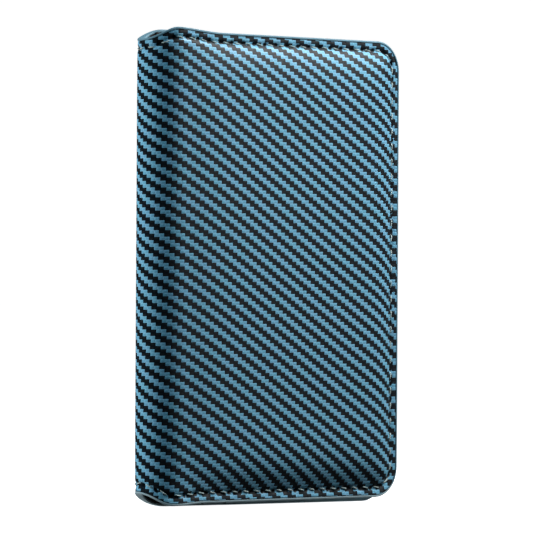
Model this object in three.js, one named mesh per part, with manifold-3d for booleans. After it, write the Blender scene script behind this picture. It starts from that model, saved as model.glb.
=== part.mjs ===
// A slim bifold card wallet, closed and standing upright on its lower edges.
//
// One sheet of padded leather makes the front cover, the rounded spine and the back cover. Each half is a stack:
// outer panel with a raised middle, foam pad, stiffener board, pocket base and three overlapping card slots.
// The bend of the spine is cut at its two fold lines, so that the wallet opens like a book.
//
// Row frame, millimetres: +Z runs up the spine, the back cover faces +Y, the front cover faces -Y and the spine
// is at -X. The origin is under the middle of the closed wallet.
//
// A half is drawn in its own frame, centred on the axis of the spine's bend: x is the distance from the line
// where the bend ends towards the free edge, and depth is counted inwards from the outer face of the border.

import * as THREE from 'three';
import { mergeVertices } from 'three/addons/utils/BufferGeometryUtils.js';
import Module from 'manifold-3d';

const wasm = await Module();
wasm.setup();

// Driving dimensions, in millimetres and degrees.
const HEIGHT = 111.5; // covers, from lower to upper edge
const COVER_WIDTH = 71.9; // from the end of the bend to the free edge
const CORNER_RADIUS = 7.3; // free corners of the covers
const SPINE_RADIUS = 6.9; // outer face of the bend
const CLOSED_WEDGE = 5.1; // the closed front cover leans this much towards the back cover
const PUFF = 2.45; // rise of the padded middle above the border
const SHELL = 1.1; // outer leather
const LINING = 0.5; // spine lining
const LAYER_GAP = 0.1; // between neighbouring layers of a stack
const FOLD_GAP = 1.1; // between a cover's leather and the spine strip
const NECK_DEPTH = 2.2; // how far the ends of the spine dip below the covers' ends
const STITCH_INSET = 2.4; // stitch line to the edge
const THREAD = 0.5; // width of the stitch line
const THREAD_HEIGHT = 0.35;

// Where the axis of the bend stands in the row frame, so that the closed wallet's box is centred on the origin.
const SPINE_AXIS = new THREE.Vector3(-32.44, -0.82, 0);

// The bend is measured in degrees round the spine, from the back cover at 0 to the front cover at BEND.
const BEND = 180 + CLOSED_WEDGE;
const FOLD_ANGLES = { back: BEND / 4, front: (BEND * 3) / 4 };
const FOLD_RADIUS = SPINE_RADIUS - SHELL / 2;
const HALF_FOLD_GAP = THREE.MathUtils.radToDeg(FOLD_GAP / 2 / FOLD_RADIUS);
const NECK_CENTRE = 67.6;
const NECK_HALF_WIDTH = 67.6;
const STITCH_FOLD_MARGIN = 9; // the spine's stitch rows stop this many degrees short of a fold line
const BEND_OVERLAP = 4; // degrees that the leather of the bend reaches into the flat cover to join it
const BEND_FACET = 8; // widest facet of the bend, in degrees
const CORNER_FACETS = 8;
const COVER_STITCH_START = 1.2; // from the end of the bend
const MERGE_DISTANCE = 1e-4; // vertices closer than this are one

// Depths of the layers, counted inwards from the border's outer face.
const STIFFENER = { depth: SHELL + LAYER_GAP, thickness: 0.4, inset: 3.2 };
const POCKET_BASE = { depth: 1.7, thickness: 0.3, mouth: 0.8 };
const CARD_SLOTS = [
  { depth: 2.1, thickness: 0.3, mouth: 8.0 },
  { depth: 2.5, thickness: 0.3, mouth: 14.5 },
  { depth: 2.9, thickness: 0.5, mouth: 21.0 },
];
const THUMB_SCOOP = { width: 40, depth: 3 };

const PAD_CORNER = { radius: 4.4, facets: 5 };

// Rings of the padded middle, from its foot to its crown: inset from the three free sides, distance of the
// spine-side edge from the bend, and depth.
const PAD_RINGS = [
  { inset: 2.9, start: 1.0, depth: SHELL / 2 },
  { inset: 2.9, start: 1.0, depth: 0 },
  { inset: 6.0, start: 6.5, depth: -1.4 },
  { inset: 11.0, start: 18.0, depth: -PUFF },
];
const HOLLOW_RINGS = [
  { inset: 4.0, start: 2.1, depth: SHELL + 0.2 },
  { inset: 7.0, start: 8.3, depth: -0.3 },
  { inset: 11.8, start: 18.8, depth: SHELL - PUFF },
];
const FOAM_RINGS = [
  { inset: 4.7, start: 3.4, depth: SHELL },
  { inset: 7.4, start: 8.9, depth: -0.12 },
  { inset: 12.0, start: 19.2, depth: SHELL - PUFF + 0.15 },
];

const FINISHES = {
  shell: { color: 0x3f6277, roughness: 0.5, metalness: 0 },
  spine: { color: 0x36586d, roughness: 0.5, metalness: 0 },
  thread: { color: 0xb9c6c0, roughness: 0.7, metalness: 0 },
  foam: { color: 0xd8d6cf, roughness: 0.95, metalness: 0 },
  board: { color: 0x8b8478, roughness: 0.9, metalness: 0 },
  pocket: { color: 0x221e1d, roughness: 0.6, metalness: 0 },
  lining: { color: 0x2b2422, roughness: 0.8, metalness: 0 },
};

const radians = THREE.MathUtils.degToRad;

// A geometry with only positions, and with its shared vertices merged.
function bare(geometry) {
  geometry.deleteAttribute('normal');
  geometry.deleteAttribute('uv');
  return mergeVertices(geometry, MERGE_DISTANCE);
}

function turnedInsideOut(geometry) {
  const index = geometry.getIndex().array;
  for (let corner = 0; corner < index.length; corner += 3) {
    [index[corner + 1], index[corner + 2]] = [index[corner + 2], index[corner + 1]];
  }
  return geometry;
}

function signedVolume(geometry) {
  const place = geometry.getAttribute('position');
  const index = geometry.getIndex().array;
  const corners = [new THREE.Vector3(), new THREE.Vector3(), new THREE.Vector3()];
  let volume = 0;
  for (let first = 0; first < index.length; first += 3) {
    corners.forEach((corner, k) => corner.fromBufferAttribute(place, index[first + k]));
    volume += corners[0].dot(corners[1].clone().cross(corners[2])) / 6;
  }
  return volume;
}

// A closed solid from corner points and triangles, with its faces pointing out.
function solidFrom(points, triangles) {
  const geometry = new THREE.BufferGeometry().setFromPoints(points);
  geometry.setIndex(triangles.flat());
  return signedVolume(geometry) < 0 ? turnedInsideOut(geometry) : geometry;
}

function toManifold(geometry) {
  const vertProperties = new Float32Array(geometry.getAttribute('position').array);
  const triVerts = new Uint32Array(geometry.getIndex().array);
  return new wasm.Manifold(new wasm.Mesh({ numProp: 3, vertProperties, triVerts }));
}

function fromManifold(solid) {
  const mesh = solid.getMesh();
  const geometry = new THREE.BufferGeometry();
  geometry.setAttribute('position', new THREE.BufferAttribute(mesh.vertProperties, 3));
  geometry.setIndex(new THREE.BufferAttribute(mesh.triVerts, 1));
  return geometry;
}

// A solid whose skin runs through rings of equal length, closed by a fan at each end.
function loft(rings) {
  const count = rings[0].length;
  const points = rings.flat();
  const triangles = [];
  for (let level = 0; level + 1 < rings.length; level += 1) {
    for (let k = 0; k < count; k += 1) {
      const next = (k + 1) % count;
      const [a, b] = [level * count + k, level * count + next];
      triangles.push([a, b, b + count], [a, b + count, a + count]);
    }
  }
  for (const [ring, first, turn] of [[rings[0], 0, -1], [rings.at(-1), points.length - count, 1]]) {
    const centre = ring.reduce((sum, p) => sum.add(p), new THREE.Vector3()).divideScalar(count);
    const hub = points.push(centre) - 1;
    for (let k = 0; k < count; k += 1) {
      const edge = [first + k, first + ((k + 1) % count)];
      triangles.push(turn > 0 ? [edge[0], edge[1], hub] : [edge[1], edge[0], hub]);
    }
  }
  return solidFrom(points, triangles);
}

// A rounded rectangle at one depth of a half.
function padRing({ inset, start, depth }) {
  const { radius, facets } = PAD_CORNER;
  const [left, right] = [start + radius, COVER_WIDTH - inset - radius];
  const [low, high] = [inset + radius, HEIGHT - inset - radius];
  const centres = [[right, high], [left, high], [left, low], [right, low]];
  return centres.flatMap(([x, z], corner) =>
    Array.from({ length: facets + 1 }, (_, step) => {
      const angle = radians(90 * (corner + step / facets));
      const along = x + radius * Math.cos(angle);
      return new THREE.Vector3(along, SPINE_RADIUS - depth, z + radius * Math.sin(angle));
    }),
  );
}

// The outline of a layer, from its spine-side edge to the free edge, with a scoop for a thumb where asked.
function layerOutline(start, inset = 0, scoop = null) {
  const radius = CORNER_RADIUS - inset;
  const [right, low, high] = [COVER_WIDTH - inset, inset, HEIGHT - inset];
  const outline = new THREE.Shape();
  outline.moveTo(start, low);
  outline.lineTo(right - radius, low);
  outline.absarc(right - radius, low + radius, radius, -Math.PI / 2, 0);
  outline.lineTo(right, high - radius);
  outline.absarc(right - radius, high - radius, radius, 0, Math.PI / 2);
  outline.lineTo(start, high);
  if (scoop) {
    const middle = HEIGHT / 2;
    outline.lineTo(start, middle + scoop.width / 2);
    // The curve reaches half-way to its control point.
    outline.quadraticCurveTo(start + 2 * scoop.depth, middle, start, middle - scoop.width / 2);
  }
  outline.closePath();
  return outline;
}

// A flat layer of a half.
function layer(outline, depth, thickness) {
  const options = { depth: thickness, bevelEnabled: false, curveSegments: CORNER_FACETS };
  const plate = new THREE.ExtrudeGeometry(outline, options);
  plate.rotateX(Math.PI / 2);
  plate.translate(0, SPINE_RADIUS - depth, 0);
  return bare(plate);
}

// How far the ends of the spine dip, at an angle round the bend.
function neckDip(angle) {
  const share = Math.min(1, Math.abs(angle - NECK_CENTRE) / NECK_HALF_WIDTH);
  return NECK_DEPTH * Math.cos((share * Math.PI) / 2) ** 2;
}

// A slab that follows the bend. Its lower and upper ends are functions of the angle.
function bentSlab(fromAngle, toAngle, innerRadius, outerRadius, lowEnd, highEnd) {
  const steps = Math.ceil((toAngle - fromAngle) / BEND_FACET);
  const points = [];
  const triangles = [];
  for (let step = 0; step <= steps; step += 1) {
    const degrees = fromAngle + ((toAngle - fromAngle) * step) / steps;
    const [sine, cosine] = [Math.sin(radians(degrees)), Math.cos(radians(degrees))];
    for (const [radius, end] of [
      [outerRadius, lowEnd],
      [outerRadius, highEnd],
      [innerRadius, highEnd],
      [innerRadius, lowEnd],
    ]) {
      points.push(new THREE.Vector3(-radius * sine, radius * cosine, end(degrees)));
    }
  }
  for (let step = 0; step < steps; step += 1) {
    for (let side = 0; side < 4; side += 1) {
      const [a, b] = [4 * step + side, 4 * step + ((side + 1) % 4)];
      triangles.push([a, b, b + 4], [a, b + 4, a + 4]);
    }
  }
  const last = 4 * steps;
  triangles.push([2, 1, 0], [3, 2, 0], [last, last + 1, last + 2], [last, last + 2, last + 3]);
  return solidFrom(points, triangles);
}

const lowerEdge = (angle) => neckDip(angle);
const upperEdge = (angle) => HEIGHT - neckDip(angle);

// The outer leather of a half, with its share of the bend and the hollow that holds the foam pad.
function outerPanel(shareOfBend) {
  const plate = toManifold(layer(layerOutline(0), 0, SHELL));
  const inner = SPINE_RADIUS - SHELL;
  const { to, low, high } = shareOfBend;
  const bend = toManifold(bentSlab(-BEND_OVERLAP, to, inner, SPINE_RADIUS, low, high));
  const raised = toManifold(loft(PAD_RINGS.map(padRing)));
  const hollow = toManifold(loft(HOLLOW_RINGS.map(padRing)));
  return fromManifold(plate.add(bend).add(raised).subtract(hollow));
}

// The row of stitches along three sides of a cover, as one thin raised line.
function coverStitch() {
  const [outer, inner] = [STITCH_INSET - THREAD / 2, STITCH_INSET + THREAD / 2];
  const band = layerOutline(COVER_STITCH_START, outer);
  const window = layerOutline(0, inner);
  const raised = toManifold(layer(band, -LAYER_GAP - THREAD_HEIGHT, THREAD_HEIGHT));
  const cutter = toManifold(layer(window, -LAYER_GAP - 2 * THREAD_HEIGHT, 3 * THREAD_HEIGHT));
  return fromManifold(raised.subtract(cutter));
}

function mirroredToFront(geometry) {
  return turnedInsideOut(geometry.scale(1, -1, 1));
}

function addPiece(group, name, geometry, finish) {
  const mesh = new THREE.Mesh(geometry, new THREE.MeshStandardMaterial(FINISHES[finish]));
  mesh.name = name;
  group.add(mesh);
}

// Every layer of one half. The front half is the back half mirrored, with its own share of the bend.
function makeHalf(side, shareOfBend, place) {
  const half = new THREE.Group();
  const board = layerOutline(STIFFENER.inset, STIFFENER.inset);
  addPiece(half, `${side}_outer_panel`, place(outerPanel(shareOfBend)), 'shell');
  addPiece(half, `${side}_foam_pad`, place(loft(FOAM_RINGS.map(padRing))), 'foam');
  addPiece(half, `${side}_stiffener`, place(layer(board, STIFFENER.depth, STIFFENER.thickness)), 'board');
  const base = layer(layerOutline(POCKET_BASE.mouth), POCKET_BASE.depth, POCKET_BASE.thickness);
  addPiece(half, `${side}_pocket_base`, place(base), 'pocket');
  CARD_SLOTS.forEach(({ depth, thickness, mouth }, slot) => {
    const leaf = layer(layerOutline(mouth, 0, THUMB_SCOOP), depth, thickness);
    addPiece(half, `${side}_card_slot_${slot + 1}`, place(leaf), 'pocket');
  });
  addPiece(half, `${side}_stitch`, place(coverStitch()), 'thread');
  return half;
}

// The spine between the two fold lines: leather strip, lining and a short stitch row at each end.
function makeSpine() {
  const spine = new THREE.Group();
  const inner = SPINE_RADIUS - SHELL;
  const liningOuter = inner - LAYER_GAP;
  const [from, to] = [FOLD_ANGLES.back + HALF_FOLD_GAP, FOLD_ANGLES.front - HALF_FOLD_GAP];
  addPiece(spine, 'spine_strip', bentSlab(from, to, inner, SPINE_RADIUS, lowerEdge, upperEdge), 'spine');
  const lining = bentSlab(from, to, liningOuter - LINING, liningOuter, lowerEdge, upperEdge);
  addPiece(spine, 'spine_lining', lining, 'lining');
  const [threadFrom, threadTo] = [FOLD_ANGLES.back + STITCH_FOLD_MARGIN, FOLD_ANGLES.front - STITCH_FOLD_MARGIN];
  for (const [end, edge, inwards] of [['top', upperEdge, -1], ['bottom', lowerEdge, 1]]) {
    const nearSide = (angle) => edge(angle) + inwards * (STITCH_INSET - THREAD / 2);
    const farSide = (angle) => edge(angle) + inwards * (STITCH_INSET + THREAD / 2);
    const base = SPINE_RADIUS + LAYER_GAP;
    const row = bentSlab(threadFrom, threadTo, base, base + THREAD_HEIGHT, nearSide, farSide);
    addPiece(spine, `spine_stitch_${end}`, row, 'thread');
  }
  return spine;
}

const coverShare = FOLD_ANGLES.back - HALF_FOLD_GAP;
const backShare = { to: coverShare, low: lowerEdge, high: upperEdge };
const frontShare = {
  to: coverShare,
  low: (angle) => lowerEdge(BEND - angle),
  high: (angle) => upperEdge(BEND - angle),
};

const wallet = new THREE.Group();
wallet.position.copy(SPINE_AXIS);
wallet.add(makeHalf('back', backShare, (geometry) => geometry));
wallet.add(makeSpine());
const frontHalf = makeHalf('front', frontShare, mirroredToFront);
frontHalf.rotation.z = radians(CLOSED_WEDGE);
wallet.add(frontHalf);

export default wallet;
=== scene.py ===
"""A slim bifold card wallet of printed, padded leather, closed and standing upright on its lower edges.

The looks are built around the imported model. Lengths in this script are in millimetres, and mesh_piece turns
them into metres. A point of the wrapped leather is given by three numbers: s, the distance along its outer
face from the line where the back cover ends and the bend of the spine begins; z, the height; and depth,
counted inwards from the outer face of the border.
"""
import math

import bmesh
import bpy
import numpy as np
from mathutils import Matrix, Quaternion, Vector


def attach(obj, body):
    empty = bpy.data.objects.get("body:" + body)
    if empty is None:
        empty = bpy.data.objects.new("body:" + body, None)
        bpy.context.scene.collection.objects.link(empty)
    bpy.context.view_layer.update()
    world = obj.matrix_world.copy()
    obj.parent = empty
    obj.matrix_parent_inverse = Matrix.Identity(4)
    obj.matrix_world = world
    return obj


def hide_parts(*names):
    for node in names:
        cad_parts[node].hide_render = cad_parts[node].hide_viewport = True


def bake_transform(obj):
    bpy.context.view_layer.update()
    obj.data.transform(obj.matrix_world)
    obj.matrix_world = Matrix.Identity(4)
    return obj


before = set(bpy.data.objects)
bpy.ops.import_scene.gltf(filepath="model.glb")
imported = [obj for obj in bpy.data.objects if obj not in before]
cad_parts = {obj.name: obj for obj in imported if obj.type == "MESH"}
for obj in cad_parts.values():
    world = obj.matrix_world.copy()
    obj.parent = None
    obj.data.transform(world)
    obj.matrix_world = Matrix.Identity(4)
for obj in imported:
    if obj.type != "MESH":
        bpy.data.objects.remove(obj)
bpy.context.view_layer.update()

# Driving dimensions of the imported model.
HEIGHT = 111.5  # covers, from lower to upper edge
COVER = 71.9  # from the end of the bend to the free edge
CORNER = 7.3  # radius of the free corners
SPINE_AXIS = (-32.44, -0.82)  # x and y of the axis that the bend turns round
SPINE_RADIUS = 6.9
BEND = math.radians(185.1)
BEND_LENGTH = SPINE_RADIUS * BEND
SPLIT = BEND_LENGTH / 2  # the leather is split half-way between its two folds
PUFF = 2.45  # how far the padding lifts the middle of a cover
SHELL = 1.1  # thickness of the outer leather
STITCH_INSET = 2.4  # from the border to the row of stitches
POCKET_BASE = dict(depth=1.7, thickness=0.3, mouth=0.8)
CARD_SLOTS = [
    dict(depth=2.1, thickness=0.3, mouth=8.0),
    dict(depth=2.5, thickness=0.3, mouth=14.5),
    dict(depth=2.9, thickness=0.5, mouth=21.0),
]
SCOOP_WIDTH = 40.0  # of the curve in the mouths of the card slots
SCOOP_DEPTH = 3.0

# Dimensions that only the looks have.
PUFF_REACH = 20  # how far from the border the corners of the raised middle are rounded
PUFF_SQUARENESS = 6.1  # power of the superellipse that rounds them
PUFF_SPINE_RUN = 8.4  # the padding rises over about this length beside the spine,
PUFF_LOW_RUN = 4.3  # over this length inside the seam where it sags,
PUFF_HIGH_RUN = 3.7  # and over this length near the upper edge
FRONT_LIFT = 1.1  # the front cover's lower edge is this much higher than the back cover's
LIFT_BESIDE_SPINE = 0.55  # share of it that the edge has beside the spine
TOP_CREST = 0.9  # both covers rise this much beside the spine
TOP_DIP = 2.7  # of the neck at the spine's upper end, from that crest
BOTTOM_DIP = 3.35
# The middle of each neck, from the middle of the bend, and the half width and power of its two sides.
TOP_NECK = dict(middle=-2.0, back=(13.0, 1.25), front=(10.9, 1.45))
BOTTOM_NECK = dict(middle=-3.0, back=(12.5, 0.95), front=(10.6, 1.54))
CELL_WIDTH = 1.2885  # of the printed twill
CELL_HEIGHT = 0.769
BLEED = 0.09  # how far the black ink spreads over each end of a blue run, in cells
PRINT_START = (-0.748, -0.708)  # shifts of the print along s and z
PRINT_CENTRE = (SPLIT + 30, HEIGHT / 2 - 0.75)  # (s, z) where it is neither pulled nor stretched
PRINT_LEAN = 0.0301  # the print's columns lean this much towards the back cover as they rise
PRINT_SLOPE = 0.016  # and its rows fall this much towards the free edge of the front cover
PAINT = 0.48  # how far the edge paint laps over the border
INNER_PAINT = 0.9  # the same on the inner face
SPINE_PAINT = 0.5  # and on both faces of the spine
PAINT_ROUND = 0.26  # radius of the painted edge's shoulders
PAINT_COAT = 0.05  # thickness of the paint on the leather
RIM = 0.35  # leather and leaves end this far inside the painted edge
LINING_TUCK = 3.0  # the lining runs this far under the pocket base
LINING_DEPTH = 1.15
LINING_THICKNESS = 0.5
LEAF_GAP = 0.1  # between one leaf and the next
SPINE_STITCHES = 6  # from one end of the bend to the other
COVER_STITCHES = 65
STITCH_PITCH = BEND_LENGTH / SPINE_STITCHES
STITCH_GAP = 0.42  # share of the pitch where the thread is inside the leather
GROOVE_DEPTH = 0.3  # of the seam
HOLE_DEPTH = 0.4  # of a needle hole, from the bottom of the groove
THREAD_RADIUS = 0.165
THREAD_SLANT = 0.2  # how far each end of a stitch lies from the middle of the row
THREAD_SINK = 0.12  # into the groove
THREAD_SIDES = 8
THREAD_RINGS = 13  # in each stitch
PAD_START = 3.4  # from the end of the bend to the foam pad
PAD_INSET = 4.7  # from the border to the pad
PAD_GAP = 0.2  # between the pad's crown and the leather

STITCH_CORNER = CORNER - STITCH_INSET
CORNER_RUN = COVER - CORNER


# Shape of the leather.

def half_name(front):
    return "front" if front else "back"


def smoothstep(low, high, value):
    t = np.clip((value - low) / (high - low), 0, 1)
    return t * t * (3 - 2 * t)


def past_bend(s):
    """Distance past the nearer end of the bend: positive on a cover, negative on the bend."""
    return np.where(s < SPLIT, -s, s - BEND_LENGTH)


def wrap(s, z, depth):
    """Points in space for places on the wrapped leather."""
    s, z, depth = np.broadcast_arrays(*(np.asarray(v, float) for v in (s, z, depth)))
    on_bend = np.clip(s, 0, BEND_LENGTH)
    angle = on_bend / SPINE_RADIUS
    radius = SPINE_RADIUS - depth
    along = s - on_bend
    x = SPINE_AXIS[0] - radius * np.sin(angle) - along * np.cos(angle)
    y = SPINE_AXIS[1] + radius * np.cos(angle) - along * np.sin(angle)
    return np.stack([x, y, z], -1)


def neck(u, half_width, power):
    """1 in the middle of a neck at an end of the spine, 0 outside it."""
    share = np.minimum(1, np.abs(u) / half_width) ** power
    return (1 + np.cos(np.pi * share)) / 2


def upper_edge(s):
    """Height of the upper edge, with the neck of the spine between two crests."""
    u = s - SPLIT - TOP_NECK["middle"]
    crest = TOP_CREST * (1 - smoothstep(10, 25, np.abs(u)))
    dip = np.where(u < 0, neck(u, *TOP_NECK["back"]), neck(u, *TOP_NECK["front"]))
    return HEIGHT + crest - TOP_DIP * dip


def lower_edge(s):
    """Height of the lower edge: level on the back cover, lifted on the front cover, with the neck between."""
    u = s - SPLIT - BOTTOM_NECK["middle"]
    back = BOTTOM_DIP * neck(u, *BOTTOM_NECK["back"])
    lift = FRONT_LIFT * (LIFT_BESIDE_SPINE + (1 - LIFT_BESIDE_SPINE) * smoothstep(11, 21, u))
    front = lift + (BOTTOM_DIP - lift) * neck(u, *BOTTOM_NECK["front"])
    return np.where(u < 0, back, front)


def corner_cut(s, rim=0):
    """How much shorter a column is at each end where it crosses the round corner."""
    radius = CORNER - rim
    run = np.clip(past_bend(s) - CORNER_RUN, 0, radius)
    return radius - np.sqrt(radius**2 - run**2)


def inset(s, z):
    """Distance from the border of the leather."""
    to_side = COVER - past_bend(s)
    to_end = np.minimum(z - lower_edge(s), upper_edge(s) - z)
    round_part = CORNER - np.hypot(CORNER - to_side, CORNER - to_end)
    in_corner = (to_side < CORNER) & (to_end < CORNER)
    return np.where(in_corner, round_part, np.minimum(to_side, to_end))


def upper_part(z):
    """1 near the upper edge and 0 below the upper third: the padding and the seam change between them."""
    return smoothstep(70, 105, z)


def rise(s, z):
    """How far the padding lifts the outer face above the border. Lower down it sags towards the seam."""
    side = np.clip(PUFF_REACH - (COVER - past_bend(s)), 0, PUFF_REACH)
    to_end = np.minimum(z - lower_edge(s), upper_edge(s) - z)
    end = np.clip(PUFF_REACH - to_end, 0, PUFF_REACH)
    soft = PUFF_REACH - (side**PUFF_SQUARENESS + end**PUFF_SQUARENESS) ** (1 / PUFF_SQUARENESS)
    edge = inset(s, z)
    within = np.maximum(edge + (soft - edge) * smoothstep(3, 8, soft) - STITCH_INSET, 0)
    from_bend = (past_bend(s) + np.hypot(past_bend(s), 2)) / 2
    spine_side = 1 - np.exp(-from_bend / PUFF_SPINE_RUN)
    sagged = 1 - np.exp(-((within / PUFF_LOW_RUN) ** 1.5))
    lifted = 1 - np.exp(-within / PUFF_HIGH_RUN)
    return PUFF * spine_side * (sagged + (lifted - sagged) * upper_part(z))


def stitch_place(s, z):
    """Place along the row of stitches, counted in stitches: whole numbers are the needle holes."""
    x = past_bend(s)
    end = np.where(s < SPLIT, 0.0, FRONT_LIFT)
    to_end = np.minimum(z - end, HEIGHT - z)
    angle = np.arctan2(np.maximum(x - CORNER_RUN, 0), np.maximum(CORNER - to_end, 1e-6))
    run = np.minimum(x, CORNER_RUN) + STITCH_CORNER * angle
    run = run + np.maximum(to_end - CORNER, 0) * (x > CORNER_RUN)
    return np.where(x < 0, s / STITCH_PITCH, run / cover_pitch(s))


def cover_pitch(s):
    """Length of one stitch on a cover."""
    height = np.where(s < SPLIT, HEIGHT, HEIGHT - FRONT_LIFT)
    row = 2 * CORNER_RUN + math.pi * STITCH_CORNER + height - 2 * CORNER
    return row / COVER_STITCHES


def outer_depth(s, z):
    """Depth of the outer face, with the groove and needle holes of the stitches. The border tilts inwards
    near the upper edge."""
    across = inset(s, z) - STITCH_INSET
    place = stitch_place(s, z)
    to_hole = np.abs(place - np.round(place)) * STITCH_PITCH
    high = upper_part(z)
    on_border = across < 0
    groove_width = np.where(on_border, 1.1 - 0.5 * high, 0.5)
    groove = GROOVE_DEPTH * np.exp(-((across / groove_width) ** 2))
    tilt = 0.1 * high * np.clip(-across - 0.6, 0, 2)
    hole_width = np.where(on_border, 0.7, 0.45)
    hole = HOLE_DEPTH * np.exp(-((across / hole_width) ** 2) - (to_hole / 0.6) ** 2)
    return groove + tilt + hole - rise(s, z)


def printed(s, z):
    """Place in the print. It is pulled a little out of square, and stretched over the padding by amounts that
    grow with the square of the distance from its centre."""
    across, up = s - PRINT_CENTRE[0], z - PRINT_CENTRE[1]
    wide, high = np.maximum(across, -40) / 30, up / 50  # in units of 30 and 50 mm
    along = s + PRINT_START[0] - PRINT_LEAN * up - 0.37 * wide**2 + 0.63 * high**2
    rows = z + PRINT_START[1] - PRINT_SLOPE * across + 0.22 * high**2 + 0.07 * wide * high
    return np.stack([along, rows], -1)


def stack_depth(s):
    """Depth of the inner face: each leaf of a half adds its thickness where its mouth begins."""
    x = past_bend(s)
    lining = LINING_DEPTH + LINING_THICKNESS
    base = POCKET_BASE["depth"] + POCKET_BASE["thickness"]
    depth = lining + (base - lining) * smoothstep(0.2, 1.4, x)
    for leaf in CARD_SLOTS:
        at_mouth = smoothstep(leaf["mouth"] - 0.6, leaf["mouth"] + 0.6, x)
        depth = depth + (leaf["thickness"] + LEAF_GAP) * at_mouth
    return depth


# Meshes.

def mesh_piece(name, points, faces, materials, place_uv=None, face_materials=None, values=None, sharp=35):
    """A piece from points in millimetres."""
    mesh = bpy.data.meshes.new(name)
    mesh.from_pydata((np.asarray(points) / 1000).tolist(), [], [list(map(int, f)) for f in faces])
    for material in materials:
        mesh.materials.append(material)
    if face_materials is not None:
        mesh.polygons.foreach_set("material_index", np.asarray(face_materials, np.int32))
    loops = np.empty(len(mesh.loops), np.int32)
    mesh.loops.foreach_get("vertex_index", loops)
    if place_uv is not None:
        layer = mesh.uv_layers.new(name="place")
        layer.data.foreach_set("uv", np.asarray(place_uv, np.float32)[loops].ravel())
    for key, value in (values or {}).items():
        attribute = mesh.attributes.new(key, "FLOAT", "POINT")
        attribute.data.foreach_set("value", np.asarray(value, np.float32).ravel())
    solid = bmesh.new()
    solid.from_mesh(mesh)
    bmesh.ops.recalc_face_normals(solid, faces=solid.faces)
    solid.to_mesh(mesh)
    solid.free()
    mesh.polygons.foreach_set("use_smooth", np.ones(len(mesh.polygons), bool))
    mesh.set_sharp_from_angle(angle=math.radians(sharp))
    mesh.update()
    piece = bpy.data.objects.new(name, mesh)
    bpy.context.scene.collection.objects.link(piece)
    return piece


def grid_faces(rows, columns, first=0, flipped=False):
    """Four-sided faces between the points of a grid, whose first point has the given number."""
    i, j = np.meshgrid(np.arange(rows - 1), np.arange(columns - 1), indexing="ij")
    a = (first + i * columns + j).ravel()
    quads = np.stack([a, a + 1, a + columns + 1, a + columns], -1)
    return quads[:, ::-1] if flipped else quads


def sheet_faces(rows, columns):
    """Faces of a closed sheet: an outer grid, an inner grid and the rim between them. Also which are outer: 0
    is an outer face, 1 an inner or rim face."""
    count = rows * columns
    edge = [j for j in range(columns)] + [i * columns + columns - 1 for i in range(1, rows)]
    edge += [(rows - 1) * columns + j for j in range(columns - 2, -1, -1)]
    edge += [i * columns for i in range(rows - 2, 0, -1)]
    edge = np.array(edge)
    following = np.roll(edge, -1)
    rim = np.stack([following, edge, edge + count, following + count], -1)
    outer = grid_faces(rows, columns)
    inner = grid_faces(rows, columns, count, flipped=True)
    kinds = np.repeat([0, 1, 1], [len(outer), len(inner), len(rim)])
    return np.concatenate([outer, inner, rim]), kinds


def heights(s, low, high, near, middle_count):
    """A column of heights for every s, close together near both ends."""
    near = np.asarray(near)
    low, high = low(s)[:, None], high(s)[:, None]
    middle = np.linspace(0, 1, middle_count + 2)[1:-1]
    reach = near[-1]
    between = low + reach + (high - low - 2 * reach) * middle
    return np.concatenate([low + near, between, high - near[::-1]], axis=1)


# Distances from the leather's own edge where it has its lines of points, close together round the stitches.
NEAR_BORDER = [0, 0.25, 0.5, 0.8, 1.1, 1.4, 1.7, 1.9, 2.05, 2.2, 2.4, 2.6, 2.8, 3.1, 3.5, 4.0]
NEAR_BORDER += [4.6, 5.3, 6.1, 7.0, 8.0]


def cover_columns(start, near, step):
    """Distances past the bend, from start to the free edge, close together near the free edge."""
    fine = COVER - RIM - np.asarray(near)[::-1]
    count = round((fine[0] - start) / step)
    return np.concatenate([np.linspace(start, fine[0], count + 1)[:-1], fine])


def half_places(front, past):
    """Places s of the columns of a half: its share of the bend, then the given distances past the bend."""
    bend = np.linspace(0, SPLIT, 25)
    if front:
        return np.concatenate([SPLIT + bend[:-1], BEND_LENGTH + past])
    return np.concatenate([-past[:0:-1], bend])


def lowest(s):
    """Lower end of a column of the leather or of a leaf, inside the painted edge."""
    return lower_edge(s) + RIM + corner_cut(s, RIM)


def highest(s):
    return upper_edge(s) - RIM - corner_cut(s, RIM)


def make_leather(front, material, backing):
    """The printed leather of a cover and of half of the spine."""
    s = half_places(front, cover_columns(0, [0, 0.03, 0.12, 0.27, 0.46] + NEAR_BORDER[4:], 0.62))
    z = heights(s, lowest, highest, NEAR_BORDER, 72)
    s = np.broadcast_to(s[:, None], z.shape)
    outer = wrap(s, z, outer_depth(s, z))
    inner = wrap(s, z, SHELL - rise(s, z))
    points = np.concatenate([outer.reshape(-1, 3), inner.reshape(-1, 3)])
    faces, kinds = sheet_faces(*z.shape)
    place = np.tile(printed(s, z).reshape(-1, 2), (2, 1))
    values = {
        "border_inset": np.tile(inset(s, z).ravel(), 2),
        "stitch_place": np.tile(stitch_place(s, z).ravel(), 2),
    }
    name = f"{half_name(front)}_leather"
    return mesh_piece(name, points, faces, [material, backing], place, kinds, values)


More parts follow.
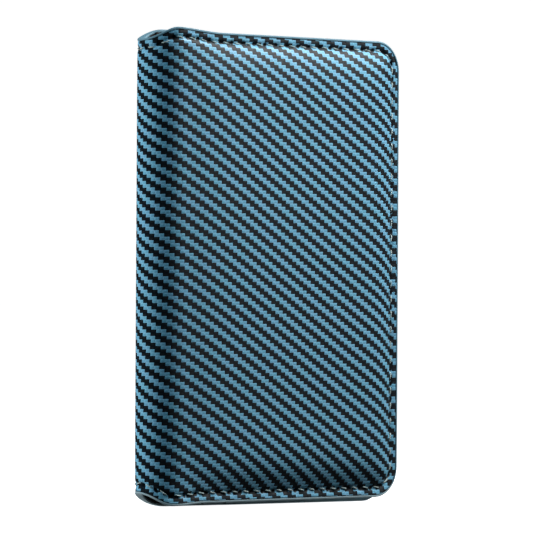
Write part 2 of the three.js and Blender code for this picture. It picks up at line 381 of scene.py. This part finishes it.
def half_border(front, inwards):
    """Points (s, z) round a half at an inset from its border, and the outward direction at each. They run
    from the lower to the upper end of the line where the halves meet on the spine."""
    low_run = np.linspace(-SPLIT, CORNER_RUN, 86)
    turn = np.radians(np.arange(6, 85, 6))
    level = FRONT_LIFT if front else 0
    side = np.linspace(level + CORNER, HEIGHT - CORNER, 60)
    to_s = (lambda x: x + BEND_LENGTH) if front else (lambda x: -x)
    slope_step = 0.01

    def end_row(x, edge, sign):
        slope = (edge(to_s(x + slope_step)) - edge(to_s(x - slope_step))) / (2 * slope_step)
        normal = np.stack([-sign * slope, np.full_like(x, sign)], -1)
        normal = normal / np.linalg.norm(normal, axis=1, keepdims=True)
        return np.stack([x, edge(to_s(x))], -1), normal

    low_points, low_normals = end_row(low_run, lower_edge, -1.0)
    top_points, top_normals = end_row(low_run[::-1], upper_edge, 1.0)
    low_arc = np.stack([np.sin(turn), -np.cos(turn)], -1)
    top_arc = np.stack([np.cos(turn), np.sin(turn)], -1)
    points = np.concatenate([
        low_points,
        [CORNER_RUN, level + CORNER] + CORNER * low_arc,
        np.stack([np.full_like(side, COVER), side], -1),
        [CORNER_RUN, HEIGHT - CORNER] + CORNER * top_arc,
        top_points,
    ])
    side_normals = np.tile([1.0, 0.0], (len(side), 1))
    normals = np.concatenate([low_normals, low_arc, side_normals, top_arc, top_normals])
    points = points - inwards * normals
    mirror = np.array([1.0 if front else -1.0, 1.0])
    return np.stack([to_s(points[:, 0]), points[:, 1]], -1), normals * mirror


def tube(rings):
    """Faces of a closed tube through rings of equal length, with a flat cap at each end."""
    count, size = len(rings), len(rings[0])
    faces = []
    for ring in range(count - 1):
        for k in range(size):
            a, b = ring * size + k, ring * size + (k + 1) % size
            faces.append([a, b, b + size, a + size])
    faces.append(list(range(size))[::-1])
    faces.append(list(range((count - 1) * size, count * size)))
    return faces


def sweep(line, normals, profile):
    """Rings of a profile, given as (outwards, depth) pairs for each point of a line on the leather."""
    rings = []
    for (s, z), (out_s, out_z), section in zip(line, normals, profile):
        out, depth = np.asarray(section).T
        rings.append(wrap(s + out_s * out, z + out_z * out, depth))
    return rings


def paint_profile(s):
    """The section of the painted edge over the whole stack. It laps onto the outer and the inner face."""
    stack = float(stack_depth(np.float64(s)))
    on_cover = float(smoothstep(0, 8, past_bend(s)))
    turn = np.radians(np.linspace(0, 90, 6))
    shoulder_depth = PAINT_ROUND * (1 - np.cos(turn)) - PAINT_COAT
    shoulder = list(zip(PAINT_ROUND * (np.sin(turn) - 1), shoulder_depth))

    def side(cover_lap):
        lap = SPINE_PAINT + (cover_lap - SPINE_PAINT) * on_cover
        return [(-lap, PAINT_COAT), (-lap + 0.05, -PAINT_COAT)] + shoulder

    inner = [(x, stack - y) for x, y in side(INNER_PAINT)]
    return np.array(side(PAINT) + [(0.04, stack / 2)] + inner[::-1])


def make_edge_paint(front, material):
    """The coat of paint round the cut edge of a half."""
    line, normals = half_border(front, 0)
    rings = sweep(line, normals, [paint_profile(s) for s, _ in line])
    points = np.concatenate(rings)
    run = np.concatenate([[0], np.cumsum(np.linalg.norm(np.diff(line, axis=0), axis=1))])
    around = np.linspace(0, 5, len(rings[0]))
    places = [(along, across) for along in run for across in around]
    return mesh_piece(f"{half_name(front)}_painted_edge", points, tube(rings), [material], places, sharp=50)


def make_threads(front, material):
    """Every stitch of a half, on the outer face and on the inner face."""
    line, normals = half_border(front, STITCH_INSET)
    s, z = line.T
    from_end = np.where(past_bend(s) < 0, past_bend(s) / STITCH_PITCH, stitch_place(s, z))
    row_places = np.where(z < HEIGHT / 2, from_end, COVER_STITCHES - from_end)
    on_bend = SPINE_STITCHES // 2
    turn = np.radians(np.arange(THREAD_SIDES) * 360 / THREAD_SIDES)
    points, faces, places = [], [], []
    for stitch in range(-on_bend, COVER_STITCHES + on_bend):
        at = np.linspace(stitch + STITCH_GAP / 2, stitch + 1 - STITCH_GAP / 2, THREAD_RINGS)
        centre = np.stack([np.interp(at, row_places, line[:, k]) for k in (0, 1)], -1)
        outward = np.stack([np.interp(at, row_places, normals[:, k]) for k in (0, 1)], -1)
        outward /= np.linalg.norm(outward, axis=1, keepdims=True)
        share = np.linspace(-1, 1, len(at))
        dive = 0.5 * np.abs(share) ** 4
        for inside in (False, True):
            inwards = -1 if inside else 1
            middle = stack_depth(centre[:, 0]) + 0.04 if inside else np.full(len(at), THREAD_SINK)
            profile = []
            for k, turns in enumerate(at):
                twist = 1 + 0.1 * np.cos(2 * turn - 28 * turns)
                radius = THREAD_RADIUS * (1 - 0.6 * dive[k]) * twist
                out = THREAD_SLANT * share[k] * inwards + radius * np.cos(turn)
                depth = middle[k] + inwards * dive[k] + radius * np.sin(turn)
                profile.append(np.stack([out, depth], -1))
            rings = sweep(centre, outward, profile)
            first = len(places)
            faces += [[first + corner for corner in face] for face in tube(rings)]
            points += rings
            places += [(turns * STITCH_PITCH, side * 0.2) for turns in at for side in range(THREAD_SIDES)]
    name = f"{half_name(front)}_stitches"
    return mesh_piece(name, np.concatenate(points), faces, [material], places, sharp=80)


def make_lining(front, material):
    """The lining of half of the spine, tucked under the pocket base."""
    s = half_places(front, np.linspace(0, LINING_TUCK, 7))
    near = [0, 0.5, 1, 1.8, 2.4, 3, 4]
    z = heights(s, lambda s: lower_edge(s) + RIM, lambda s: upper_edge(s) - RIM, near, 40)
    s = np.broadcast_to(s[:, None], z.shape)
    seam = 0.12 * np.exp(-(((inset(s, z) - STITCH_INSET) / 0.6) ** 2))
    outer = wrap(s, z, LINING_DEPTH - seam * 0.1)
    inner = wrap(s, z, LINING_DEPTH + LINING_THICKNESS - seam)
    points = np.concatenate([outer.reshape(-1, 3), inner.reshape(-1, 3)])
    faces, _ = sheet_faces(*z.shape)
    place = np.tile(np.stack([s.ravel(), z.ravel()], -1), (2, 1))
    return mesh_piece(f"{half_name(front)}_spine_lining", points, faces, [material], place)


def make_leaf(front, label, leaf, material, scooped):
    """One flat leaf of a half, with a rounded, creased mouth."""
    mouth_steps = [0, 0.03, 0.09, 0.18, 0.3, 0.6, 1.0, 1.2, 1.35, 1.5, 1.65, 1.8, 2.1, 3.0, 4.5, 6.0]
    near = [0, 0.5, 1.1, 1.7, 2.0, 2.4, 2.8, 3.2, 4.0, 5.5, 7.5]
    beyond = cover_columns(leaf["mouth"] + mouth_steps[-1], [0, 0.06, 0.25, 0.6] + near[2:], 1.6)[1:]
    x = np.concatenate([leaf["mouth"] + np.array(mouth_steps), beyond])
    s = x + BEND_LENGTH if front else -x
    z = heights(s, lowest, highest, near, 60)
    x = np.broadcast_to(x[:, None], z.shape)
    from_mouth = x - leaf["mouth"]
    if scooped:
        across = np.clip(np.abs(z - HEIGHT / 2) / (SCOOP_WIDTH / 2), 0, 1)
        scoop = SCOOP_DEPTH * np.cos(across * np.pi / 2) ** 2
        x = x + scoop * (1 - smoothstep(2, 6, from_mouth))
    s = x + BEND_LENGTH if front else -x
    roundness = np.clip(from_mouth / 0.3, 0, 1)
    half = leaf["thickness"] / 2 * np.sqrt(1 - (1 - roundness) ** 2 * 0.98)
    crease = 0.07 * np.exp(-(((from_mouth - 1.5) / 0.16) ** 2))
    seam = 0.1 * np.exp(-(((inset(s, z) - STITCH_INSET) / 0.6) ** 2))
    middle = leaf["depth"] + leaf["thickness"] / 2 - seam
    outer = wrap(s, z, middle - half)
    inner = wrap(s, z, middle + half - crease)
    points = np.concatenate([outer.reshape(-1, 3), inner.reshape(-1, 3)])
    faces, _ = sheet_faces(*z.shape)
    place = np.tile(np.stack([x.ravel(), z.ravel()], -1), (2, 1))
    values = {"from_mouth": np.tile(from_mouth.ravel(), 2)}
    name = f"{half_name(front)}_{label}_leaf"
    return mesh_piece(name, points, faces, [material], place, values=values, sharp=60)


def make_pad(front, material):
    """The foam under the raised middle of a cover."""
    end = COVER - PAD_INSET
    x = np.concatenate([np.linspace(PAD_START, 20, 16), np.linspace(21, 60, 22), np.linspace(61, end, 10)])
    s = x + BEND_LENGTH if front else -x

    def end_inset(s):
        return PAD_INSET + np.maximum(corner_cut(s) - STITCH_INSET, 0)

    near = [0, 0.4, 0.9, 1.6, 2.6, 4, 6]
    z = heights(s, lambda s: lower_edge(s) + end_inset(s), lambda s: upper_edge(s) - end_inset(s), near, 40)
    s = np.broadcast_to(s[:, None], z.shape)
    thickness = np.maximum(rise(s, z) - PAD_GAP, 0.08)
    outer = wrap(s, z, SHELL - thickness)
    inner = wrap(s, z, SHELL + 0.04)
    points = np.concatenate([outer.reshape(-1, 3), inner.reshape(-1, 3)])
    faces, _ = sheet_faces(*z.shape)
    place = np.tile(np.stack([s.ravel(), z.ravel()], -1), (2, 1))
    return mesh_piece(f"{half_name(front)}_foam", points, faces, [material], place)


# Materials.

class Surface:
    """One node material with a principled shader, and short ways to add nodes to it."""

    def __init__(self, name, **sockets):
        self.material = bpy.data.materials.new(name)
        self.material.use_nodes = True
        self.tree = self.material.node_tree
        self.shader = self.tree.nodes["Principled BSDF"]
        for socket, value in sockets.items():
            self.shader.inputs[socket.replace("_", " ")].default_value = value

    def node(self, kind, **settings):
        node = self.tree.nodes.new(kind)
        for key, value in settings.items():
            setattr(node, key, value)
        return node

    def set(self, socket, value):
        if isinstance(value, bpy.types.NodeSocket):
            self.tree.links.new(value, socket)
        else:
            socket.default_value = value

    def math(self, operation, *values):
        node = self.node("ShaderNodeMath", operation=operation)
        for socket, value in zip(node.inputs, values):
            self.set(socket, value)
        return node.outputs[0]

    def mix(self, factor, first, second):
        node = self.node("ShaderNodeMix", data_type="RGBA")
        for index, value in ((0, factor), (6, first), (7, second)):
            self.set(node.inputs[index], value)
        return node.outputs[2]

    def between(self, value, low, high, from_value=0.0, to_value=1.0):
        """A smooth step of a value between low and high."""
        node = self.node("ShaderNodeMapRange", interpolation_type="SMOOTHSTEP")
        for socket, number in zip(node.inputs, (value, low, high, from_value, to_value)):
            self.set(socket, number)
        return node.outputs[0]

    def place(self):
        """The two coordinates that a mesh carries in its place layer, the first of them in millimetres."""
        parts = self.node("ShaderNodeSeparateXYZ")
        self.set(parts.inputs[0], self.node("ShaderNodeUVMap", uv_map="place").outputs[0])
        return parts.outputs[0], parts.outputs[1]

    def value(self, name):
        return self.node("ShaderNodeAttribute", attribute_name=name).outputs["Fac"]

    def object_point(self):
        return self.node("ShaderNodeTexCoord").outputs["Object"]

    def noise(self, scale, detail=4.0, roughness=0.5):
        node = self.node("ShaderNodeTexNoise")
        self.set(node.inputs["Vector"], self.object_point())
        node.inputs["Scale"].default_value = scale
        node.inputs["Detail"].default_value = detail
        node.inputs["Roughness"].default_value = roughness
        return node.outputs[0]

    def pores(self, scale):
        node = self.node("ShaderNodeTexVoronoi", feature="F1")
        self.set(node.inputs["Vector"], self.object_point())
        node.inputs["Scale"].default_value = scale
        return node.outputs["Distance"]

    def bump(self, height, distance_mm, strength=1.0, before=None):
        node = self.node("ShaderNodeBump")
        node.inputs["Strength"].default_value = strength
        node.inputs["Distance"].default_value = distance_mm / 1000
        self.set(node.inputs["Height"], height)
        if before:
            self.set(node.inputs["Normal"], before)
        return node.outputs[0]

    def finish(self, color, roughness, normal):
        for name, value in (("Base Color", color), ("Roughness", roughness), ("Normal", normal)):
            self.set(self.shader.inputs[name], value)
        return self.material


def printed_leather():
    """Blue and black two-and-two twill, printed on satin synthetic leather."""
    look = Surface("printed_leather", Specular_IOR_Level=0.28)
    along, up = look.place()
    column_place = look.math("DIVIDE", along, CELL_WIDTH)
    row_place = look.math("DIVIDE", up, CELL_HEIGHT)
    row = look.math("FLOOR", row_place)

    def blue_cells(shift):
        column = look.math("FLOOR", look.math("ADD", column_place, shift))
        step = look.math("FLOORED_MODULO", look.math("ADD", column, row), 4.0)
        return look.math("LESS_THAN", step, 1.5)

    is_blue = look.math("MULTIPLY", blue_cells(-BLEED), blue_cells(BLEED))

    def from_cell_border(cell_place, cell_size):
        from_middle = look.math("ABSOLUTE", look.math("SUBTRACT", look.math("FRACT", cell_place), 0.5))
        return look.math("MULTIPLY", look.math("SUBTRACT", 0.5, from_middle), cell_size)

    to_side = from_cell_border(row_place, CELL_HEIGHT)
    to_end = from_cell_border(column_place, CELL_WIDTH)
    core = look.between(look.math("MINIMUM", to_side, to_end), 0.0, 0.3)
    blue = look.mix(core, (0.225, 0.505, 0.70, 1), (0.15, 0.41, 0.585, 1))
    dark = look.mix(core, (0.0035, 0.0065, 0.010, 1), (0.0115, 0.0155, 0.0185, 1))
    patches = look.between(look.noise(300, 2.0), 0.35, 0.65)
    tint = look.mix(patches, (0.95, 1.01, 0.99, 1), (1.03, 0.99, 1.01, 1))
    print_color = look.mix(is_blue, dark, blue)
    tinted = look.node("ShaderNodeMix", data_type="RGBA", blend_type="MULTIPLY")
    look.set(tinted.inputs[0], 1.0)
    look.set(tinted.inputs[6], print_color)
    look.set(tinted.inputs[7], tint)
    grain = look.between(look.noise(5200, 2.0, 0.6), 0.3, 0.7, 0.86, 1.14)
    grained = look.node("ShaderNodeVectorMath", operation="SCALE")
    look.set(grained.inputs[0], tinted.outputs[2])
    look.set(grained.inputs["Scale"], grain)

    # Painted shade: the needle holes are painted dark for the shade inside them, and so is the groove beside
    # the edge paint, more strongly near the lower edge.
    border_inset = look.value("border_inset")
    offset = look.math("ABSOLUTE", look.math("SUBTRACT", border_inset, STITCH_INSET - 0.15))
    place = look.value("stitch_place")
    to_hole = look.math("ABSOLUTE", look.math("SUBTRACT", place, look.math("ROUND", place)))
    across = look.math("POWER", look.math("DIVIDE", offset, 0.5), 2.0)
    lengthways = look.math("POWER", look.math("DIVIDE", to_hole, 0.17), 2.0)
    hole_distance = look.math("SQRT", look.math("ADD", across, lengthways))
    # painted shade inside each needle hole
    hole = look.between(hole_distance, 0.8, 1.25, 1.0, 0.0)
    # painted shade in the groove beside the edge paint, full near the lower edge and fading above it
    painted_edge_shade = look.between(border_inset, PAINT + 0.1, PAINT + 0.4, 0.8, 0.0)
    painted_edge_shade = look.math("MULTIPLY", painted_edge_shade, look.between(up, 20.0, 50.0, 1.0, 0.2))
    color = look.mix(look.math("MAXIMUM", hole, painted_edge_shade), grained.outputs[0], (0.003, 0.005, 0.007, 1))

    weave = look.math("MULTIPLY", core, look.between(is_blue, 0.0, 1.0, 0.55, 1.0))
    relief = look.bump(weave, 0.03)
    relief = look.bump(look.pores(1900), 0.03, 0.6, relief)
    satin = look.between(look.noise(900, 3.0), 0.2, 0.8, 0.50, 0.60)
    roughness = look.math("SUBTRACT", satin, look.math("MULTIPLY", is_blue, 0.08))
    return look.finish(color, roughness, relief)


def edge_paint():
    """Satin blue-grey paint over the cut edges, slightly uneven, and worn lighter in places. Within a few
    millimetres of the floor it is painted lighter, a painted light that stands in for light from below."""
    look = Surface("edge_paint", Specular_IOR_Level=0.3)
    wear = look.between(look.noise(160, 6.0, 0.65), 0.55, 0.85)
    tone = look.mix(look.noise(60, 3.0), (0.115, 0.235, 0.30, 1), (0.15, 0.28, 0.35, 1))
    worn_tone = look.mix(wear, tone, (0.20, 0.33, 0.39, 1))
    height = look.node("ShaderNodeSeparateXYZ")
    look.set(height.inputs[0], look.object_point())
    # painted light: the paint is lighter up to 3 to 5 mm above the floor, in place of light from below
    painted_low_light = look.between(height.outputs[2], 0.003, 0.005, 1.0, 0.0)
    color = look.mix(painted_low_light, worn_tone, (0.36, 0.49, 0.54, 1))
    relief = look.bump(look.noise(450, 5.0, 0.6), 0.04, 0.4)
    roughness = look.between(look.noise(800, 3.0), 0.3, 0.7, 0.42, 0.55)
    return look.finish(color, roughness, relief)


def waxed_thread():
    """Pale waxed thread with the slant lines of its twist."""
    look = Surface("waxed_thread", Specular_IOR_Level=0.45)
    along, around = look.place()
    slant = look.math("ADD", look.math("MULTIPLY", along, 15.0), look.math("MULTIPLY", around, 8.0))
    twist = look.math("SINE", slant)
    color = look.mix(look.between(twist, -1.0, 0.4), (0.28, 0.38, 0.38, 1), (0.62, 0.76, 0.74, 1))
    relief = look.bump(twist, 0.05)
    relief = look.bump(look.noise(6000, 3.0), 0.02, 0.6, relief)
    roughness = look.between(look.noise(3000, 2.0), 0.3, 0.7, 0.42, 0.62)
    return look.finish(color, roughness, relief)


def pocket_leather():
    """Matte black-brown leather with a fine pebble grain, polished along the mouths."""
    look = Surface("pocket_leather", Specular_IOR_Level=0.45)
    grain = look.pores(1500)
    worn = look.between(look.value("from_mouth"), 0.0, 1.2, 1.0, 0.0)
    shade = look.mix(look.noise(130, 4.0), (0.012, 0.010, 0.009, 1), (0.022, 0.018, 0.016, 1))
    color = look.mix(look.math("MULTIPLY", worn, 0.5), shade, (0.05, 0.044, 0.04, 1))
    relief = look.bump(grain, 0.06, 0.8)
    relief = look.bump(look.noise(700, 6.0, 0.6), 0.05, 0.5, relief)
    roughness = look.between(look.noise(500, 4.0), 0.3, 0.7, 0.5, 0.68)
    return look.finish(color, roughness, relief)


def woven_lining(name, color, light, pitch):
    """Plain weave of fine threads."""
    look = Surface(name, Specular_IOR_Level=0.3)
    along, up = look.place()
    turn = 2 * math.pi / pitch
    warp = look.math("SINE", look.math("MULTIPLY", along, turn))
    weft = look.math("SINE", look.math("MULTIPLY", up, turn))
    threads = look.math("MAXIMUM", warp, weft)
    cloth = look.mix(look.between(threads, -0.2, 1.0), color, light)
    relief = look.bump(threads, 0.06)
    relief = look.bump(look.noise(2500, 3.0), 0.03, 0.6, relief)
    roughness = look.between(look.noise(900, 3.0), 0.3, 0.7, 0.72, 0.9)
    return look.finish(cloth, roughness, relief)


def foam_look():
    """Cream foam with small cells."""
    look = Surface("foam", Specular_IOR_Level=0.2)
    cells = look.pores(1400)
    color = look.mix(look.between(cells, 0.1, 0.6), (0.42, 0.40, 0.34, 1), (0.68, 0.66, 0.58, 1))
    relief = look.bump(cells, 0.2)
    roughness = look.between(look.noise(700, 3.0), 0.3, 0.7, 0.85, 0.98)
    return look.finish(color, roughness, relief)


def fibre_board():
    """Grey-brown pressed fibres."""
    look = Surface("fibre_board", Specular_IOR_Level=0.25)
    fibres = look.noise(900, 8.0, 0.7)
    color = look.mix(look.between(fibres, 0.3, 0.7), (0.20, 0.17, 0.13, 1), (0.34, 0.30, 0.24, 1))
    relief = look.bump(fibres, 0.08)
    roughness = look.between(fibres, 0.3, 0.7, 0.8, 0.95)
    return look.finish(color, roughness, relief)


# Camera, light and stage.

AZIMUTH = math.radians(-40.0)  # of the camera, counted from -y; below zero is towards -x
TOWARDS = np.array([math.sin(AZIMUTH), -math.cos(AZIMUTH), 0.0])  # level direction to the camera
RIGHT = np.array([math.cos(AZIMUTH), math.sin(AZIMUTH), 0.0])  # what the camera has on its right
DISTANCE = 1200.0  # from the part of the spine that is nearest to the camera
CAMERA_SIDESTEP = 23.6427  # the camera stands this far to the right of that part
CAMERA_HEIGHT = 51.4
CAMERA_ROLL = math.radians(0.325)
SENSOR = 36.0
LENS = 347.957
LENS_SHIFT = 0.041745  # upwards, as a share of the frame


def make_camera():
    """A long lens, level apart from a slight roll, that looks straight back along TOWARDS."""
    ridge = np.array([*SPINE_AXIS, 0.0]) + SPINE_RADIUS * TOWARDS
    place = ridge + DISTANCE * TOWARDS + CAMERA_SIDESTEP * RIGHT
    place[2] = CAMERA_HEIGHT
    data = bpy.data.cameras.new("camera")
    data.sensor_width = SENSOR
    data.lens = LENS
    data.shift_y = LENS_SHIFT
    data.clip_start = 0.05
    data.clip_end = 100
    camera = bpy.data.objects.new("camera", data)
    camera.location = Vector(place / 1000)
    roll = Quaternion((0, 0, 1), CAMERA_ROLL)
    camera.rotation_euler = (Vector(-TOWARDS).to_track_quat("-Z", "Y") @ roll).to_euler()
    bpy.context.scene.collection.objects.link(camera)
    bpy.context.scene.camera = camera


def make_softbox(name, turn, up, distance, size, power, color=(1, 1, 1), shines=True):
    """A square softbox aimed at the middle of the wallet, from so many degrees to the right of the camera and
    above the level. Distance and size are in metres. One that doesn't shine gives light without a reflection
    of its own."""
    data = bpy.data.lights.new(name, "AREA")
    data.size = size
    data.energy = power
    data.color = color
    light = bpy.data.objects.new(name, data)
    light.visible_glossy = shines
    turn, up = math.radians(turn), math.radians(up)
    level = TOWARDS * math.cos(turn) + RIGHT * math.sin(turn)
    away = Vector(level * math.cos(up)) + Vector((0, 0, math.sin(up)))
    light.location = Vector((0, 0, HEIGHT / 2000)) + away * distance
    light.rotation_euler = (-away).to_track_quat("-Z", "Y").to_euler()
    bpy.context.scene.collection.objects.link(light)


def make_stage():
    """A plain white floor and a plain white surround."""
    world = bpy.data.worlds.new("studio")
    world.use_nodes = True
    background = world.node_tree.nodes["Background"]
    background.inputs["Color"].default_value = (1, 1, 1, 1)
    background.inputs["Strength"].default_value = 0.02
    bpy.context.scene.world = world
    glow = bpy.data.materials.new("white_surround")
    glow.use_nodes = True
    shader = glow.node_tree.nodes["Principled BSDF"]
    shader.inputs["Base Color"].default_value = (0.8, 0.8, 0.8, 1)
    shader.inputs["Emission Color"].default_value = (1, 1, 1, 1)
    shader.inputs["Emission Strength"].default_value = 1.0
    turn = np.radians(np.arange(0, 360, 7.5))
    wall = [(12.0, 0.0), (12.0, 8.0), (6.0, 12.0), (0.5, 13.0)]  # radius and height of each ring, in metres
    circle = np.stack([np.cos(turn), np.sin(turn), np.zeros_like(turn)], -1)
    rings = [(radius * circle + [0, 0, height]) * 1000 for radius, height in wall]
    count = len(turn)
    roof = [(len(rings) - 1) * count + k for k in range(count)]
    walls = tube(rings)[:-2]
    surround = mesh_piece("surround", np.concatenate(rings), walls + [roof], [glow])
    floor = mesh_piece("floor", rings[0], [list(range(count))], [glow])
    for part in (surround, floor):
        for ray in ("diffuse", "glossy", "transmission", "volume_scatter", "shadow"):
            setattr(part, f"visible_{ray}", False)


make_camera()
make_softbox("right_softbox", 82, 50, 0.36, 0.18, 1.12)
make_softbox("top_softbox", 98, 50, 0.4, 0.2, 1.22)
make_softbox("left_softbox", -88, 12, 0.5, 0.3, 2.65, shines=False)
make_softbox("front_softbox", -15, 42, 0.5, 0.3, 0.42, (0.4, 0.82, 1.0), shines=False)
make_softbox("low_softbox", 180, -50, 0.5, 0.3, 2.0, shines=False)
make_stage()
bpy.context.scene.view_settings.view_transform = "Standard"

leather = printed_leather()
paint = edge_paint()
thread = waxed_thread()
pocket = pocket_leather()
lining = woven_lining("lining_cloth", (0.010, 0.007, 0.006, 1), (0.045, 0.033, 0.028, 1), 0.45)
backing = woven_lining("leather_backing", (0.02, 0.02, 0.02, 1), (0.07, 0.068, 0.065, 1), 0.6)
foam = foam_look()
board = fibre_board()


def across_fold(piece, front):
    """Bakes the placement of a half's piece into its mesh, the same way for both halves."""
    if front:
        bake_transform(piece)
    else:
        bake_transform(piece)


for front in (False, True):
    side = half_name(front)
    skin = make_leather(front, leather, backing)
    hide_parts(f"{side}_outer_panel")
    across_fold(skin, front)

    edge = make_edge_paint(front, paint)
    across_fold(edge, front)

    row = make_threads(front, thread)
    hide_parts(f"{side}_stitch", f"spine_stitch_{'bottom' if front else 'top'}")
    across_fold(row, front)

    cloth = make_lining(front, lining)
    across_fold(cloth, front)
    if front:
        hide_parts("spine_strip")
        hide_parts("spine_lining")

    leaves = [("pocket_base", POCKET_BASE, False)]
    leaves += [(f"card_slot_{number}", leaf, True) for number, leaf in enumerate(CARD_SLOTS, 1)]
    for label, leaf, scooped in leaves:
        piece = make_leaf(front, label, leaf, pocket, scooped)
        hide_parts(f"{side}_{label}")
        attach(piece, f"{side}_cover")

    pad = make_pad(front, foam)
    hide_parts(f"{side}_foam_pad")
    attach(pad, f"{side}_cover")

    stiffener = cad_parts[f"{side}_stiffener"]
    stiffener.data.materials.clear()
    stiffener.data.materials.append(board)
